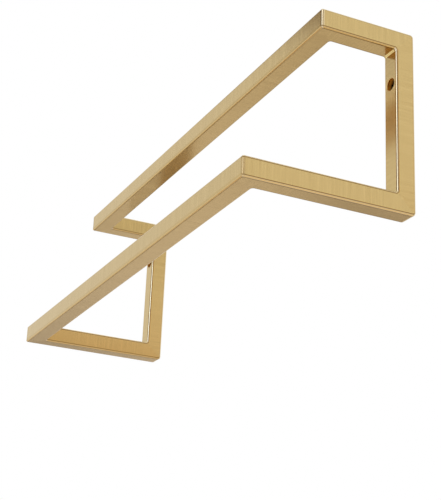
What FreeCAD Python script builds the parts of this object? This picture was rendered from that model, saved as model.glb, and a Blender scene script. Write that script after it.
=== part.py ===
import FreeCAD, Part
import math
import os

# A double rail for a wall: two rails of square tube, carried at each end by a C of the same tube.
# The wall is the plane y = 0 and the rails stand in front of it, towards -y. x runs along the rails.
# The origin lies on the wall, midway between the two fixing holes. Sizes are in millimetres.

# Driving dimensions of the frame, measured over the outside of the tubes
overall_length = 600.0
upper_reach = 100.0
lower_reach = 175.0
frame_height = 185.0

# Square tube
tube_size = 20.0
tube_wall = 1.5
edge_radius = 1.8

# Corners: how much more than the tube's edges the outer corners are rounded
wall_corner_grind = 2.2
front_corner_grind = 0.2

# Welds: the hollow fillet left in the inner corners, and half the width of the seam at the outer corners
weld_fillet = 2.0
weld_half_width = 0.6

# Fixing: one hole in each upright, with a bush behind it for the head of a wall screw
hole_below_top = 53.0
screw_hole = 5.5
bush_wall = 1.5
bush_side_gap = 1.0
bush_floor = 4.0
rim_chamfer = 0.4

# Values worked out from the sizes above
half_length = overall_length / 2
top = hole_below_top
bottom = top - frame_height
wall_corner_radius = edge_radius + wall_corner_grind
front_corner_radius = edge_radius + front_corner_grind
upper_split = -upper_reach / 2
lower_split = -lower_reach / 2
upright_centre = half_length - tube_size / 2
bush_outer = tube_size - 2 * (tube_wall + bush_side_gap)
access_hole = bush_outer - 2 * bush_wall

along_x = FreeCAD.Vector(1, 0, 0)
along_y = FreeCAD.Vector(0, 1, 0)
along_z = FreeCAD.Vector(0, 0, 1)


def rounded_face(corners):
    """A flat face from square corners, each a point and its radius, where 0 leaves it sharp."""
    middle_share = 1 - math.sqrt(0.5)
    starts, ends, arcs = [], [], []
    for index, (point, radius) in enumerate(corners):
        back = (corners[index - 1][0] - point).normalize()
        onward = (corners[(index + 1) % len(corners)][0] - point).normalize()
        starts.append(point + back * radius)
        ends.append(point + onward * radius)
        middle = point + (back + onward) * (radius * middle_share)
        arcs.append(Part.Arc(starts[-1], middle, ends[-1]).toShape() if radius > 0 else None)
    edges = []
    for index, arc in enumerate(arcs):
        edges.append(Part.LineSegment(ends[index - 1], starts[index]).toShape())
        if arc:
            edges.append(arc)
    return Part.Face(Part.Wire(edges))


def soften_edges(solid, along, open_ends):
    """Round the long edges of an extruded outline, but not where the tube is still open."""

    def same(values):
        return max(values) - min(values) < Part.Precision.confusion()

    chosen = []
    for edge in solid.Edges:
        points = [vertex.Point for vertex in edge.Vertexes]
        in_end_face = same([point.dot(along) for point in points])
        is_open = any(same([point.y for point in points] + [end_y]) for end_y in open_ends)
        if in_end_face and not is_open:
            chosen.append(edge)
    return solid.makeFillet(edge_radius, chosen)


def end_frame_tube(inner_x):
    """The hollow C of one end frame, from its open arm ends to the wall."""

    def outline(inset, wall_radius, inner_radius):
        x = inner_x + inset
        return rounded_face([
            (FreeCAD.Vector(x, upper_split, top - inset), 0),
            (FreeCAD.Vector(x, -inset, top - inset), wall_radius),
            (FreeCAD.Vector(x, -inset, bottom + inset), wall_radius),
            (FreeCAD.Vector(x, lower_split, bottom + inset), 0),
            (FreeCAD.Vector(x, lower_split, bottom + tube_size - inset), 0),
            (FreeCAD.Vector(x, inset - tube_size, bottom + tube_size - inset), inner_radius),
            (FreeCAD.Vector(x, inset - tube_size, top - tube_size + inset), inner_radius),
            (FreeCAD.Vector(x, upper_split, top - tube_size + inset), 0),
        ]).extrude(along_x * (tube_size - 2 * inset))

    outside = outline(0, wall_corner_radius, weld_fillet)
    inside = outline(tube_wall, max(wall_corner_radius - tube_wall, 0), 0)
    return soften_edges(outside, along_x, (upper_split, lower_split)).cut(inside)


def rail_and_arms_tube(reach, split, under_z):
    """The hollow U of one rail and the front halves of its arms."""

    def outline(inset, front_radius, inner_radius):
        z = under_z + inset
        outer_x = half_length - inset
        inner_x = half_length - tube_size + inset
        front_y = inset - reach
        back_y = tube_size - inset - reach
        return rounded_face([
            (FreeCAD.Vector(-outer_x, split, z), 0),
            (FreeCAD.Vector(-outer_x, front_y, z), front_radius),
            (FreeCAD.Vector(outer_x, front_y, z), front_radius),
            (FreeCAD.Vector(outer_x, split, z), 0),
            (FreeCAD.Vector(inner_x, split, z), 0),
            (FreeCAD.Vector(inner_x, back_y, z), inner_radius),
            (FreeCAD.Vector(-inner_x, back_y, z), inner_radius),
            (FreeCAD.Vector(-inner_x, split, z), 0),
        ]).extrude(along_z * (tube_size - 2 * inset))

    outside = outline(0, front_corner_radius, weld_fillet)
    inside = outline(tube_wall, max(front_corner_radius - tube_wall, 0), 0)
    return soften_edges(outside, along_z, (split,)).cut(inside)


def weld_space(outer, first, second, through):
    """The space of a corner weld: a seam at the outer corner that widens to the fillet inside.

    first and second point from the corner along its two tubes, and through points across them."""
    inner = outer + (first + second) * tube_size
    outline = Part.makePolygon([
        outer,
        outer + first * weld_half_width,
        inner + first * weld_fillet,
        inner + (first + second) * weld_fillet,
        inner + second * weld_fillet,
        outer + second * weld_half_width,
        outer,
    ])
    return Part.Face(outline).extrude(through * tube_size)


def split_by_welds(tube, spaces, order):
    """The straight tubes between the welds, sorted along a direction, and the welds themselves."""
    straight = sorted(tube.cut(spaces).Solids, key=lambda solid: solid.CenterOfMass.dot(order))
    return straight, [tube.common(space).Solids[0] for space in spaces]


def disc(radius, front_y, back_y, centre_x):
    """A round bar along y at the height of the fixing holes."""
    return Part.makeCylinder(radius, back_y - front_y, FreeCAD.Vector(centre_x, front_y, 0), along_y)


def drill_upright(upright, centre_x):
    """The access hole in the front wall, with a broken edge, and the screw hole in the back wall."""
    front_y = -tube_size
    access = disc(access_hole / 2, front_y, front_y + tube_wall, centre_x)
    rim = Part.makeCone(access_hole / 2 + rim_chamfer, access_hole / 2, rim_chamfer,
                        FreeCAD.Vector(centre_x, front_y, 0), along_y)
    screw = disc(screw_hole / 2, -tube_wall, 0, centre_x)
    return upright.cut([access, rim, screw]).Solids[0]


def fixing_bush(centre_x):
    """A turned cup between the upright's front and back walls, with a screw hole in its floor."""
    front_y = tube_wall - tube_size
    back_y = -tube_wall
    body = disc(bush_outer / 2, front_y, back_y, centre_x)
    recess = disc(access_hole / 2, front_y, back_y - bush_floor, centre_x)
    screw = disc(screw_hole / 2, back_y - bush_floor, back_y, centre_x)
    return body.cut([recess, screw]).Solids[0]


def join_arm(front_half, back_half):
    """One arm from the half that meets the rail and the half that meets the upright."""
    return front_half.fuse(back_half).removeSplitter().Solids[0]


nodes = {}
front_halves = {}

# Rails, the front halves of the arms and the welds at the front corners
for level, reach, split, under_z in (("upper", upper_reach, upper_split, top - tube_size),
                                     ("lower", lower_reach, lower_split, bottom)):
    spaces = []
    for side in (-1, 1):
        corner = FreeCAD.Vector(side * half_length, -reach, under_z)
        spaces.append(weld_space(corner, along_x * -side, along_y, along_z))
    straight, welds = split_by_welds(rail_and_arms_tube(reach, split, under_z), spaces, along_x)
    front_halves["left", level] = straight[0]
    nodes[level + "_rail"] = straight[1]
    front_halves["right", level] = straight[2]
    nodes["left_" + level + "_front_weld"] = welds[0]
    nodes["right_" + level + "_front_weld"] = welds[1]

# Uprights, the back halves of the arms, the welds on the wall side and the fixing bushes
for name, inner_x, centre_x in (("left", -half_length, -upright_centre),
                                ("right", half_length - tube_size, upright_centre)):
    spaces = []
    for corner_z, along_upright in ((bottom, along_z), (top, along_z * -1)):
        corner = FreeCAD.Vector(inner_x, 0, corner_z)
        spaces.append(weld_space(corner, along_y * -1, along_upright, along_x))
    straight, welds = split_by_welds(end_frame_tube(inner_x), spaces, along_z)
    nodes[name + "_lower_arm"] = join_arm(front_halves[name, "lower"], straight[0])
    nodes[name + "_upright"] = drill_upright(straight[1], centre_x)
    nodes[name + "_upper_arm"] = join_arm(front_halves[name, "upper"], straight[2])
    nodes[name + "_lower_wall_weld"] = welds[0]
    nodes[name + "_upper_wall_weld"] = welds[1]
    nodes[name + "_fixing_bush"] = fixing_bush(centre_x)

os.makedirs("parts", exist_ok=True)
for name, shape in nodes.items():
    shape.exportStep("parts/" + name + ".step")
    print(name, shape.ShapeType, len(shape.Solids), shape.isValid(), round(shape.Volume, 1))
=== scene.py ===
import bpy
import bmesh
from mathutils import Matrix, Vector


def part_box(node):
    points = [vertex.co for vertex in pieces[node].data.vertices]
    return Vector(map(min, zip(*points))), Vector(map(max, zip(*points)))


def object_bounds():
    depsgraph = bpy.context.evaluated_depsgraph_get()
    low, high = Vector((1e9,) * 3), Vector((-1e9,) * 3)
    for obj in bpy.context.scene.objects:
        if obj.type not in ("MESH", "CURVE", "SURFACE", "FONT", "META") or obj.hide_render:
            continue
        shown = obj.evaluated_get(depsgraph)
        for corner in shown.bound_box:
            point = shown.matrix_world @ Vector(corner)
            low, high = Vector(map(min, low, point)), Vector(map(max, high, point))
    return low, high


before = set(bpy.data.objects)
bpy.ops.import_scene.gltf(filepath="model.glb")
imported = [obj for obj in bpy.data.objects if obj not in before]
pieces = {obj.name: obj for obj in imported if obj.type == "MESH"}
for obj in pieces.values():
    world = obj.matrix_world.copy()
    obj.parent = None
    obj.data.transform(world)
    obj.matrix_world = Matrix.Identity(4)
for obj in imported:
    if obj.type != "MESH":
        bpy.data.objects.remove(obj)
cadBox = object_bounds()
scene = bpy.context.scene
scene.view_settings.view_transform = "Standard"
print("loaded the rail:", len(pieces), "pieces")


# Helpers for shader trees: an input is a plain value or the socket that feeds it

def setInputs(tree, node, inputs):
    for name, value in inputs.items():
        if isinstance(value, bpy.types.NodeSocket):
            tree.links.new(value, node.inputs[name])
        else:
            node.inputs[name].default_value = value


def addNode(tree, kind, inputs=None, **settings):
    node = tree.nodes.new("ShaderNode" + kind)
    for name, value in settings.items():   # these come first, because some change the node's sockets
        setattr(node, name, value)
    setInputs(tree, node, inputs or {})
    return node.outputs


def useGroup(tree, group, inputs):
    return addNode(tree, "Group", inputs, node_tree=group)


def maths(tree, operation, *values):
    return addNode(tree, "Math", dict(enumerate(values)), operation=operation)[0]


def vectorMaths(tree, operation, *values):
    return addNode(tree, "VectorMath", dict(enumerate(values)), operation=operation)[0]


def lengthOf(tree, vector):
    return addNode(tree, "VectorMath", {0: vector}, operation="LENGTH")["Value"]


def combine(tree, x, y, z=0.0):
    return addNode(tree, "CombineXYZ", {0: x, 1: y, 2: z})[0]


def split(tree, vector):
    return addNode(tree, "SeparateXYZ", {0: vector})


def remap(tree, value, fromLow, fromHigh, toLow=0.0, toHigh=1.0):
    limits = {"From Min": fromLow, "From Max": fromHigh, "To Min": toLow, "To Max": toHigh}
    return addNode(tree, "MapRange", {"Value": value, **limits})[0]


def softStep(tree, value, place, softness):   # a negative softness turns the step round
    return remap(tree, value, place - softness, place + softness)


def mixColor(tree, factor, first, second):
    return addNode(tree, "Mix", {0: factor, 6: first, 7: second}, data_type="RGBA")[2]


def mixVector(tree, factor, first, second):
    return addNode(tree, "Mix", {0: factor, 4: first, 5: second}, data_type="VECTOR")[1]


def mixValue(tree, factor, first, second):
    return addNode(tree, "Mix", {0: factor, 2: first, 3: second})[0]


def newGroup(name, inputs, outputs):
    tree = bpy.data.node_groups.new(name, "ShaderNodeTree")
    for socket, kind in inputs.items():
        tree.interface.new_socket(socket, in_out="INPUT", socket_type=kind)
    for socket, kind in outputs.items():
        tree.interface.new_socket(socket, in_out="OUTPUT", socket_type=kind)
    entry = tree.nodes.new("NodeGroupInput")
    leave = tree.nodes.new("NodeGroupOutput")
    return tree, entry.outputs, leave.inputs


def newMaterial(name):
    material = bpy.data.materials.new(name)
    material.use_nodes = True
    tree = material.node_tree
    return material, tree, tree.nodes["Principled BSDF"]


def dress(piece, material):
    piece.data.materials.clear()
    piece.data.materials.append(material)


# Brushed grain: hairlines and wider streaks that run across the tube, and a slow cloudiness

grain = {
    "hairlines": (2600, 60, 60),   # cells per metre along the tube, and across it twice
    "streaks": (560, 22, 22),
    "clouds": (22, 30, 30),
    "detail": 2.0,
    "hairlineShare": 0.42,
    "cloudShare": 0.35,
}
noiseRange = (0.3, 0.7)   # nearly all of a noise lies between these


def brushedGrainGroup():
    tree, entry, leave = newGroup(
        "brushedGrain",
        {"Vector": "NodeSocketVector"},
        {"Hairlines": "NodeSocketFloat", "Streaks": "NodeSocketFloat", "Clouds": "NodeSocketFloat"},
    )
    for output, cells in (("Hairlines", "hairlines"), ("Streaks", "streaks"), ("Clouds", "clouds")):
        stretched = vectorMaths(tree, "MULTIPLY", entry["Vector"], grain[cells])
        noise = addNode(tree, "TexNoise", {"Vector": stretched, "Scale": 1.0, "Detail": grain["detail"]})
        tree.links.new(remap(tree, noise["Fac"], *noiseRange), leave[output])
    return tree


# Edge glint and line: from the distance to the sharp edge, a mask of the rounding, for its painted highlight
# and lower roughness, and of the line where it starts, for its painted dark reflection

edgeLine = {   # places beside the start of the rounding, in widths of the line
    "roundedFull": -0.5,
    "lineFull": 0.3,
    "lineEnd": 0.6,
}


def edgeGlintAndLineGroup():
    tree, entry, leave = newGroup(
        "edgeGlintAndLine",
        {"Distance": "NodeSocketFloat", "Radius": "NodeSocketFloat", "Line": "NodeSocketFloat"},
        {"Rounded": "NodeSocketFloat", "Border": "NodeSocketFloat"},
    )
    past = maths(tree, "SUBTRACT", entry["Distance"], entry["Radius"])
    share = maths(tree, "DIVIDE", past, entry["Line"])
    rounded = remap(tree, share, edgeLine["roundedFull"], 0.0, 1.0, 0.0)
    aside = maths(tree, "ABSOLUTE", share)
    border = remap(tree, aside, edgeLine["lineFull"], edgeLine["lineEnd"], 1.0, 0.0)
    tree.links.new(rounded, leave["Rounded"])
    tree.links.new(border, leave["Border"])
    return tree


# Corner distance: how far a point of a mitred corner lies from the outline of its two tubes

def cornerDistanceGroup():
    tree, entry, leave = newGroup(
        "cornerDistance",
        {"First": "NodeSocketFloat", "Second": "NodeSocketFloat", "Tube": "NodeSocketFloat",
         "Outer Radius": "NodeSocketFloat", "Inner Fillet": "NodeSocketFloat"},
        {"Distance": "NodeSocketFloat"},
    )

    def reach(radius, start):
        legs = []
        for name in ("First", "Second"):
            along = maths(tree, "SUBTRACT", entry[name], start)
            legs.append(maths(tree, "MAXIMUM", maths(tree, "SUBTRACT", radius, along), 0.0))
        return lengthOf(tree, combine(tree, *legs))

    nearer = maths(tree, "MINIMUM", entry["First"], entry["Second"])
    beyond = maths(tree, "MAXIMUM", maths(tree, "SUBTRACT", nearer, entry["Outer Radius"]), 0.0)
    rounded = maths(tree, "SUBTRACT", entry["Outer Radius"], reach(entry["Outer Radius"], 0.0))
    outer = maths(tree, "ADD", rounded, beyond)
    inner = maths(tree, "SUBTRACT", reach(entry["Inner Fillet"], entry["Tube"]), entry["Inner Fillet"])
    tree.links.new(maths(tree, "MINIMUM", outer, inner), leave["Distance"])
    return tree


# Painted reflection: a mask for a golden band painted along a rail's lower front edge, from the place in
# front of and above the rail's middle

bandShape = {
    "width": 0.0036,        # up from the rail's underside
    "frontInset": 0.002,    # how much less of it lies on the underside
    "softness": 0.0005,
}


def reflectedBandGroup():
    tree, entry, leave = newGroup(
        "reflectedBand",
        {"Front": "NodeSocketFloat", "Height": "NodeSocketFloat", "Edge": "NodeSocketFloat"},
        {"Band": "NodeSocketFloat"},
    )
    above = maths(tree, "SUBTRACT", entry["Height"], entry["Edge"])
    behind = maths(tree, "SUBTRACT", entry["Front"], entry["Edge"])
    low = softStep(tree, above, 0.0, -bandShape["softness"])
    front = softStep(tree, behind, -bandShape["frontInset"], -bandShape["softness"])
    tree.links.new(maths(tree, "MULTIPLY", low, front), leave["Band"])
    return tree


brushedGrain = brushedGrainGroup()
edgeGlintAndLine = edgeGlintAndLineGroup()
cornerDistance = cornerDistanceGroup()
reflectedBand = reflectedBandGroup()
print("made the shared finishes")


# Brushed brass of the tubes and of the welds that join them, with painted highlights and dark reflection
# lines along their edges, painted light at corners and in the hole, and a painted golden reflection band on
# the rails

brass = {
    "color": (0.61, 0.45, 0.195, 1),
    "streakDark": (0.55, 0.40, 0.167, 1),
    "streakLight": (0.665, 0.495, 0.219, 1),
    # painted highlights: lighter colours on the rounded edges that stand in for the glints and light bands
    # the edges reflect
    "paintedGlintBright": (0.98, 0.98, 0.82, 1),
    "paintedGlintWhite": (0.88, 0.79, 0.60, 1),
    "paintedGlintLight": (0.80, 0.65, 0.39, 1),
    "paintedGlintGold": (0.68, 0.51, 0.25, 1),
    # painted highlight along the inner fillet of a wall corner
    "paintedFilletHighlight": (0.98, 0.86, 0.43, 1),
    # painted light: orange standing in for light reflected about inside the access hole's wall
    "paintedHoleLight": (0.82, 0.36, 0.045, 1),
    # painted reflection: the golden band along a rail's lower front edge
    "bandReflectionGold": (0.57, 0.40, 0.145, 1),
    # painted reflections: dark lines where a rounding starts, standing in for the dark surroundings that the
    # edge reflects
    "paintedReflectionDark": (0.25, 0.15, 0.045, 1),
    "paintedReflectionGold": (0.36, 0.16, 0.01, 1),
    "paintedGlintShare": 0.8,
    "roughness": 0.2,
    "roughnessSwing": 0.04,
    "edgeRoughness": 0.12,
    "anisotropy": 0.6,
    "anisotropyTurn": 0.25,
    "bumpStrength": 0.12,
    "bumpDepth": 0.00003,
}
tubeShape = {
    "size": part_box("upper_rail")[1].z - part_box("upper_rail")[0].z,
    "edgeRadius": 0.0018,
    "borderLine": 0.001,
    "innerFillet": 0.002,
    "filletSoftness": 0.0002,
    "wallCornerRadius": 0.004,
    "frontCornerRadius": 0.002,
    "frontEdgeShift": 0.0006,    # the painted highlight on an upright's edge is this much narrower on its front
    "middleSoftness": 0.001,     # where the look of one edge gives way to that of the other
    "turnSoftness": 0.004,
    "paintedCornerFull": 0.0022,        # the strip of painted glint or painted dark reflection at a front corner, from the corner along the tube
    "paintedCornerEnd": 0.003,
    "holeRadius": 0.006,
    "holeMargin": 0.0001,
    "holeDepth": 0.0018,
}
halfTube = tubeShape["size"] / 2

# The edge below or in front, then the one above or behind: how much of the painted dark reflection line
# shows, and the painted highlight color of the rounding. Last comes the line's color.
edgeLooks = {
    "upperRail": ((0.25, 0.15), ("paintedGlintGold", "paintedGlintGold"), "paintedReflectionDark"),
    "lowerRail": ((0.05, 0.15), ("paintedGlintGold", "paintedGlintGold"), "paintedReflectionDark"),
    "upright": ((0.85, 0.3), ("paintedGlintBright", "paintedGlintWhite"), "paintedReflectionGold"),
    "leftUpperArm": ((0.95, 0.25), ("paintedGlintGold", "paintedGlintWhite"), "paintedReflectionDark"),
    "rightUpperArm": ((0.95, 0.25), ("paintedGlintGold", "paintedGlintWhite"), "paintedReflectionDark"),
    "leftLowerArm": ((0.9, 0.9), ("paintedGlintGold", "paintedGlintLight"), "paintedReflectionDark"),
    "rightLowerArm": ((0.9, 0.9), ("paintedGlintLight", "paintedGlintLight"), "paintedReflectionDark"),
    "upperWeld": ((0.95, 0.25), ("paintedGlintWhite", "paintedGlintWhite"), "paintedReflectionDark"),
    "lowerWeld": ((0.9, 0.9), ("paintedGlintLight", "paintedGlintLight"), "paintedReflectionDark"),
}
paintedLightLooks = {   # places of painted light, a front corner's glint or dark reflection, the wall fillet's highlight and the access hole's inner light: color, how much of it shows, and roughness
    "upperRail": ("paintedReflectionDark", 0.9, 0.2),
    "upperArm": ("paintedGlintLight", 1.0, 0.3),
    "upperSeam": ("paintedGlintWhite", 0.7, 0.2),
    "lowerRail": ("paintedGlintLight", 0.3, 0.55),
    "lowerArm": ("paintedGlintLight", 0.3, 0.55),
    "lowerSeam": ("paintedGlintLight", 1.0, 0.6),
    "wallFillet": ("paintedFilletHighlight", 1.0, 0.2),
    "accessHole": ("paintedHoleLight", 1.0, 0.6),
}


def brushedBrass(tree, shader, grainVector, edgeDistance, farEdge, look, paintedLightMask, paintedLightLook, band=None):
    reflectionLineShares, glintColors, reflectionLineColor = edgeLooks[look]
    paintedLightColor, paintedLightShare, paintedLightRoughness = paintedLightLooks[paintedLightLook]
    lines = useGroup(tree, brushedGrain, {"Vector": grainVector})
    edges = useGroup(tree, edgeGlintAndLine, {
        "Distance": edgeDistance,
        "Radius": tubeShape["edgeRadius"],
        "Line": tubeShape["borderLine"],
    })
    fibre = mixValue(tree, grain["hairlineShare"], lines["Streaks"], lines["Hairlines"])
    color = mixColor(tree, fibre, brass["streakDark"], brass["streakLight"])
    cloudShare = maths(tree, "MULTIPLY", lines["Clouds"], grain["cloudShare"])
    color = mixColor(tree, cloudShare, color, brass["color"])
    # painted reflection: a golden band along the rail's lower front edge
    if band is not None:
        color = mixColor(tree, band, color, brass["bandReflectionGold"])
    # painted light at a front corner, a wall fillet or the access hole: a lighter or darker colour standing
    # in for glints, dark reflections and light inside the hole, with its own roughness
    color = mixColor(tree, maths(tree, "MULTIPLY", paintedLightMask, paintedLightShare), color, brass[paintedLightColor])
    # painted highlight: the rounding of each edge takes a lighter colour that stands in for its glint
    glintColor = mixColor(tree, farEdge, brass[glintColors[0]], brass[glintColors[1]])
    color = mixColor(tree, maths(tree, "MULTIPLY", edges["Rounded"], brass["paintedGlintShare"]), color, glintColor)
    # painted reflection: a dark line where the rounding starts
    reflectionLineShare = remap(tree, farEdge, 0.0, 1.0, *reflectionLineShares)
    color = mixColor(tree, maths(tree, "MULTIPLY", edges["Border"], reflectionLineShare), color, brass[reflectionLineColor])
    swing = brass["roughnessSwing"]
    roughness = remap(tree, fibre, 0.0, 1.0, brass["roughness"] + swing, brass["roughness"] - swing)
    roughness = mixValue(tree, paintedLightMask, roughness, paintedLightRoughness)
    roughness = mixValue(tree, edges["Rounded"], roughness, brass["edgeRoughness"])
    flatShare = maths(tree, "SUBTRACT", 1.0, edges["Rounded"])
    bump = addNode(tree, "Bump", {
        "Height": maths(tree, "MULTIPLY", fibre, flatShare),
        "Strength": brass["bumpStrength"],
        "Distance": brass["bumpDepth"],
    })
    setInputs(tree, shader, {"Base Color": color, "Roughness": roughness, "Normal": bump[0], "Metallic": 1.0})


axisVector = ((1, 0, 0), (0, 1, 0), (0, 0, 1))


def brushAcross(tree, shader, tubeAxis):
    normal = addNode(tree, "NewGeometry")["Normal"]
    setInputs(tree, shader, {
        "Tangent": vectorMaths(tree, "CROSS_PRODUCT", normal, tubeAxis),
        "Anisotropic": brass["anisotropy"],
        "Anisotropic Rotation": brass["anisotropyTurn"],
    })


def fromPlace(tree, place):
    return vectorMaths(tree, "SUBTRACT", addNode(tree, "TexCoord")["Object"], place)


def radiusAboutY(tree, parts):
    return lengthOf(tree, combine(tree, parts[0], 0.0, parts[2]))


def paintedCornerStrip(tree, fromCorner):
    return remap(tree, fromCorner, tubeShape["paintedCornerEnd"], tubeShape["paintedCornerFull"])


# the access hole's wall, where its painted inner light goes
def holeWall(tree, place):
    parts = split(tree, fromPlace(tree, place))
    holeEdge = tubeShape["holeRadius"] + tubeShape["holeMargin"]
    inHole = maths(tree, "LESS_THAN", radiusAboutY(tree, parts), holeEdge)
    inWall = maths(tree, "LESS_THAN", parts[1], tubeShape["holeDepth"])
    return maths(tree, "MULTIPLY", inHole, inWall)


def tubeFinish(name, axis, look, paintedLightLook, cornerPlace=None):
    material, tree, shader = newMaterial(name + "Brass")
    low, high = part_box(name)
    middle = (low + high) / 2
    parts = split(tree, fromPlace(tree, middle))
    across = [parts[i] for i in range(3) if i != axis]
    depths = [maths(tree, "SUBTRACT", halfTube, maths(tree, "ABSOLUTE", part)) for part in across]
    edgeDistance = maths(tree, "MAXIMUM", *depths)
    farEdge = softStep(tree, across[1], 0.0, tubeShape["middleSoftness"])
    band = None
    if axis == 0:   # a rail, with painted corner light alike at both ends
        bandEdge = bandShape["width"] - halfTube
        place = {"Front": across[0], "Height": across[1], "Edge": bandEdge}
        band = useGroup(tree, reflectedBand, place)["Band"]
        inward = maths(tree, "MULTIPLY", maths(tree, "ABSOLUTE", parts[0]), -1.0)
        paintedLightMask = paintedCornerStrip(tree, maths(tree, "SUBTRACT", inward, cornerPlace - middle.x))
    elif axis == 1:   # an arm, with painted corner light at its front end
        paintedLightMask = paintedCornerStrip(tree, maths(tree, "SUBTRACT", parts[1], cornerPlace - middle.y))
    else:   # an upright, with its hole at the frame's own height and painted orange light on the hole's wall
        onFront = maths(tree, "GREATER_THAN", *depths)
        shift = maths(tree, "MULTIPLY", onFront, tubeShape["frontEdgeShift"])
        edgeDistance = maths(tree, "ADD", edgeDistance, shift)
        paintedLightMask = holeWall(tree, (middle.x, low.y, 0))
    grainVector = combine(tree, parts[axis], *across)
    brushedBrass(tree, shader, grainVector, edgeDistance, farEdge, look, paintedLightMask, paintedLightLook, band)
    brushAcross(tree, shader, axisVector[axis])
    return material


def weldFinish(name, corner, through, outerRadius, look, paintedLightLook):
    material, tree, shader = newMaterial(name + "Brass")
    spot = fromPlace(tree, corner)
    parts = split(tree, vectorMaths(tree, "ABSOLUTE", spot))
    firstAxis, secondAxis = [i for i in range(3) if i != through]
    first = parts[firstAxis]
    second = parts[secondAxis]
    nearer = maths(tree, "MINIMUM", first, second)
    further = maths(tree, "MAXIMUM", first, second)
    outline = useGroup(tree, cornerDistance, {
        "First": first,
        "Second": second,
        "Tube": tubeShape["size"],
        "Outer Radius": outerRadius,
        "Inner Fillet": tubeShape["innerFillet"],
    })["Distance"]
    depth = maths(tree, "SUBTRACT", halfTube, parts[through])
    edgeDistance = maths(tree, "MAXIMUM", outline, depth)
    if through == 2:   # a front corner, with painted corner light as at the ends of its tubes
        farEdge = softStep(tree, split(tree, spot)[2], 0.0, tubeShape["middleSoftness"])
        paintedLightMask = paintedCornerStrip(tree, further)
    else:   # a corner on the wall, with a painted highlight along the fillet inside
        farEdge = softStep(tree, nearer, halfTube, -tubeShape["turnSoftness"])
        paintedLightMask = softStep(tree, nearer, tubeShape["size"], tubeShape["filletSoftness"])
    grainVector = combine(tree, further, nearer, parts[through])
    brushedBrass(tree, shader, grainVector, edgeDistance, farEdge, look, paintedLightMask, paintedLightLook)
    onSecond = maths(tree, "GREATER_THAN", second, first)
    brushAcross(tree, shader, mixVector(tree, onSecond, axisVector[firstAxis], axisVector[secondAxis]))
    return material


sides = ("left", "right")
levels = ("upper", "lower")

for level in levels:
    rail = level + "_rail"
    railLook = level + "Rail"
    dress(pieces[rail], tubeFinish(rail, 0, railLook, railLook, cadBox[0].x))
for side in sides:
    endX = cadBox[1].x if side == "right" else cadBox[0].x
    upright = side + "_upright"
    dress(pieces[upright], tubeFinish(upright, 2, "upright", "accessHole"))
    for level in levels:
        arm = f"{side}_{level}_arm"
        armLook = side + level.capitalize() + "Arm"
        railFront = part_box(level + "_rail")[0].y
        dress(pieces[arm], tubeFinish(arm, 1, armLook, level + "Arm", railFront))
        low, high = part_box(arm)
        middle = (low + high) / 2
        outerZ = high.z if level == "upper" else low.z
        frontCorner = Vector((endX, railFront, middle.z))
        wallCorner = Vector((middle.x, cadBox[1].y, outerZ))
        welds = {   # outer corner, the axis through it, the corner's radius, and the look of its painted light
            "front": (frontCorner, 2, tubeShape["frontCornerRadius"], level + "Seam"),
            "wall": (wallCorner, 0, tubeShape["wallCornerRadius"], "wallFillet"),
        }
        for place, (corner, through, radius, paintedLightLook) in welds.items():
            weld = f"{side}_{level}_{place}_weld"
            dress(pieces[weld], weldFinish(weld, corner, through, radius, level + "Weld", paintedLightLook))
print("brushed the tubes and welds")


# Turned brass of the fixing bushes, with fine rings about the bush's own axis, and painted shade that darkens
# its bore with depth from a painted orange light at the mouth

bush = {
    # painted light and shade: bright orange at the bore's mouth, near black deeper in
    "rim": (0.80, 0.38, 0.045, 1),
    "paintedDeepShade": (0.015, 0.007, 0.002, 1),
    "rimDepth": 0.0,
    "deepDepth": 0.0042,
    "deepening": 3.0,   # the power by which the painted shade darkens with depth
    "rings": 1600,      # cells per metre
    "ringDetail": 3.0,
    "ringShare": 0.25,
    "metallic": 0.6,
    "roughness": 0.5,
    "roughnessSwing": 0.06,
    "bumpStrength": 0.3,
    "bumpDepth": 0.00002,
}


def bushFinish(name):
    material, tree, shader = newMaterial(name + "Brass")
    low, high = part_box(name)
    middle = (low + high) / 2
    parts = split(tree, fromPlace(tree, (middle.x, low.y, middle.z)))
    outward = maths(tree, "MULTIPLY", radiusAboutY(tree, parts), bush["rings"])
    inward = maths(tree, "MULTIPLY", parts[1], bush["rings"])
    rings = {"Vector": combine(tree, outward, inward), "Scale": 1.0, "Detail": bush["ringDetail"]}
    noise = addNode(tree, "TexNoise", rings)["Fac"]
    ringSwing = maths(tree, "MULTIPLY", maths(tree, "SUBTRACT", noise, 0.5), bush["ringShare"])
    depth = remap(tree, parts[1], bush["rimDepth"], bush["deepDepth"])
    shade = maths(tree, "ADD", maths(tree, "POWER", depth, bush["deepening"]), ringSwing)
    swing = bush["roughnessSwing"]
    bump = addNode(tree, "Bump", {
        "Height": noise,
        "Strength": bush["bumpStrength"],
        "Distance": bush["bumpDepth"],
    })
    setInputs(tree, shader, {
        # painted light at the mouth, painted shade deeper in the bore
        "Base Color": mixColor(tree, shade, bush["rim"], bush["paintedDeepShade"]),
        "Roughness": remap(tree, noise, *noiseRange, bush["roughness"] + swing, bush["roughness"] - swing),
        "Normal": bump[0],
        "Metallic": bush["metallic"],
        "Specular IOR Level": 0.0,
    })
    return material


for side in sides:
    name = side + "_fixing_bush"
    dress(pieces[name], bushFinish(name))
print("turned the bushes")


# Studio: white surroundings, a pale floor well below the rail, one soft lamp, and cards to reflect

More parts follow.
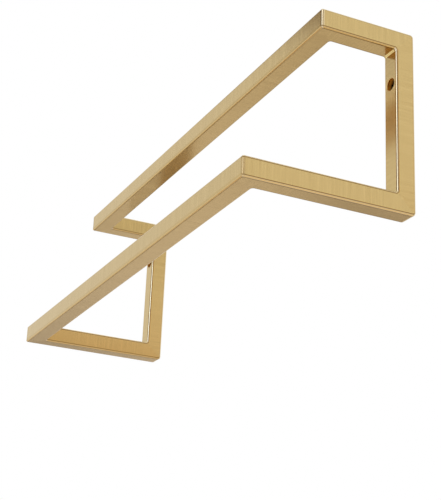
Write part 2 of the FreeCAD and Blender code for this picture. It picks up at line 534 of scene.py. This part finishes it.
studio = {
    "white": (1, 1, 1, 1),
    "front": (0.93, 0.93, 0.93, 1),   # the surroundings are a shade dimmer on the front side
    "frontStart": 0.1,                # where that starts and is full, by how far a ray points to the wall
    "frontFull": -0.25,
    "strength": 1.0,
    "floorZ": -1.2,
    "floorSize": 80.0,
    "floorNear": (0.86, 0.80, 0.76, 1),
    "floorFar": (0.97, 0.95, 0.94, 1),
    "floorRoughness": 0.9,
    "nearRadius": 5.0,
    "farRadius": 16.0,
}
keyLamp = {"from": (0.84, -1.65, 0.85), "width": 0.9, "height": 1.2, "power": 6.0}
facings = {"up": (0, 0, 1), "wall": (0, 1, 0), "left": (-1, 0, 0), "right": (1, 0, 0)}
cardGaps = {"floor": 0.02, "rail": 0.0005, "upright": 0.001}
overFloor = studio["floorZ"] + cardGaps["floor"]
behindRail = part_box("upper_rail")[1].y + cardGaps["rail"]
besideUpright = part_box("left_upright")[1].x + cardGaps["upright"]

# Cards that only the rail's reflections show: centre, the way it faces, width, height and color
cards = {
    "frontLeftCard": ((-0.38, -1.96, 0.9), "middle", 2.0, 0.95, (0.12, 0.09, 0.06, 1)),
    "frontRightCard": ((1.8, -0.88, 0.9), "middle", 1.9, 0.95, (0.20, 0.14, 0.08, 1)),
    "highLeftCard": ((-2.0, -1.6, 2.6), "middle", 2.4, 1.6, (0.24, 0.17, 0.12, 1)),
    "rightWarmCard": ((2.6, 0.6, 0.5), "left", 4.0, 0.6, (0.95, 0.75, 0.54, 1)),
    "nearFloorCard": ((-0.75, 0.62, overFloor), "up", 0.7, 0.4, (0.24, 0.17, 0.10, 1)),
    "middleFloorCard": ((-2.1, 0.12, overFloor), "up", 1.8, 0.55, (0.24, 0.17, 0.10, 1)),
    "backFloorCard": ((-2.2, 1.61, overFloor), "up", 0.9, 0.92, (0.38, 0.33, 0.30, 1)),
    "orangeFloorCard": ((-1.6, -1.35, overFloor), "up", 0.9, 1.0, (0.80, 0.46, 0.13, 1)),
    "goldFloorCard": ((-3.2, -1.4, overFloor), "up", 2.2, 1.4, (0.97, 0.88, 0.66, 1)),
    "rightFloorCard": ((1.1, 0.65, overFloor), "up", 1.2, 1.2, (0.97, 0.80, 0.52, 1)),
    "farFloorCard": ((-4.7, 1.0, overFloor), "up", 1.9, 1.5, (0.30, 0.26, 0.23, 1)),
    "innerArmCard": ((0.6, 0.27, 0.45), "left", 0.26, 0.26, (1.0, 0.98, 0.88, 1)),
    # painted reflection: two sheets just behind the upper rail, there only to change the rail's reflection in
    # the right upright's front face, a lighter strip above and a darker band below
    "railBackCard": ((0.2, behindRail, 0.0442), "wall", 0.15, 0.0196, (1.0, 0.95, 0.88, 1)),
    "underRailCard": ((0.2, behindRail, 0.0015), "wall", 0.15, 0.0272, (0.68, 0.545, 0.42, 1)),
    # painted reflection: a dark and a grey sheet beside the left upright, there only to show as a darker
    # patch in the upper rail's underside
    "wallCard": ((besideUpright, 0.0054, -0.05), "right", 0.0448, 0.2, (0.48, 0.37, 0.235, 1)),
    "fadeCard": ((besideUpright, -0.037, -0.05), "right", 0.04, 0.2, (0.74, 0.70, 0.64, 1)),
}


def studioWorld():
    world = bpy.data.worlds.new("studioWorld")
    world.use_nodes = True
    tree = world.node_tree
    direction = split(tree, addNode(tree, "TexCoord")["Generated"])
    frontShare = remap(tree, direction[1], studio["frontStart"], studio["frontFull"])
    setInputs(tree, tree.nodes["Background"], {
        "Color": mixColor(tree, frontShare, studio["white"], studio["front"]),
        "Strength": studio["strength"],
    })
    scene.world = world


def addSheet(name, centre, facing, width, height):
    sheet = bmesh.new()
    bmesh.ops.create_grid(sheet, x_segments=1, y_segments=1, size=0.5)
    bmesh.ops.scale(sheet, verts=sheet.verts, vec=(width, height, 1))
    turn = Vector(facing).to_track_quat("Z", "Y").to_matrix()
    bmesh.ops.rotate(sheet, verts=sheet.verts, matrix=turn)
    bmesh.ops.translate(sheet, verts=sheet.verts, vec=centre)
    mesh = bpy.data.meshes.new(name)
    sheet.to_mesh(mesh)
    sheet.free()
    piece = bpy.data.objects.new(name, mesh)
    scene.collection.objects.link(piece)
    return piece


def studioFloor():
    size = studio["floorSize"]
    floor = addSheet("studioFloor", (0, 0, studio["floorZ"]), facings["up"], size, size)
    material, tree, shader = newMaterial("paleFloor")
    away = lengthOf(tree, addNode(tree, "TexCoord")["Object"])
    share = remap(tree, away, studio["nearRadius"], studio["farRadius"])
    setInputs(tree, shader, {
        "Base Color": mixColor(tree, share, studio["floorNear"], studio["floorFar"]),
        "Roughness": studio["floorRoughness"],
        "Specular IOR Level": 0.0,
    })
    dress(floor, material)


def addLamp(name, setup):
    data = bpy.data.lights.new(name, "AREA")
    data.shape = "RECTANGLE"
    data.size = setup["width"]
    data.size_y = setup["height"]
    data.energy = setup["power"]
    lamp = bpy.data.objects.new(name, data)
    lamp.location = setup["from"]
    lamp.rotation_euler = (-lamp.location).to_track_quat("-Z", "Y").to_euler()
    lamp.visible_camera = False
    scene.collection.objects.link(lamp)


def addCard(name, centre, way, width, height, color):
    facing = -Vector(centre) if way == "middle" else facings[way]
    card = addSheet(name, centre, facing, width, height)
    material, tree, shader = newMaterial(name)
    fromBehind = addNode(tree, "NewGeometry")["Backfacing"]
    setInputs(tree, shader, {
        "Base Color": color,
        "Roughness": 1.0,
        "Specular IOR Level": 0.0,
        "Alpha": maths(tree, "SUBTRACT", 1.0, fromBehind),   # clear from behind, so the floor stays lit
    })
    dress(card, material)
    card.visible_camera = False


studioWorld()
studioFloor()
addLamp("keyLamp", keyLamp)
for name, setup in cards.items():
    addCard(name, *setup)
print("lit the studio")


# Camera at the viewing angle of the photograph: low, in front and to the right, looking up

view = {
    "place": (1.1528, -0.5891, -0.5498),
    "forward": (-0.8501, 0.3961, 0.3469),
    "up": (0.2957, -0.186, 0.937),
    "lens": 88.83,
    "sensor": 36.0,
}


def photoCamera():
    data = bpy.data.cameras.new("photoCamera")
    data.lens = view["lens"]
    data.sensor_width = view["sensor"]
    camera = bpy.data.objects.new("photoCamera", data)
    forward = Vector(view["forward"]).normalized()
    right = forward.cross(Vector(view["up"])).normalized()
    turn = Matrix((right, right.cross(forward), -forward)).transposed()
    camera.matrix_world = Matrix.Translation(view["place"]) @ turn.to_4x4()
    scene.collection.objects.link(camera)
    scene.camera = camera


photoCamera()
print("set the camera")
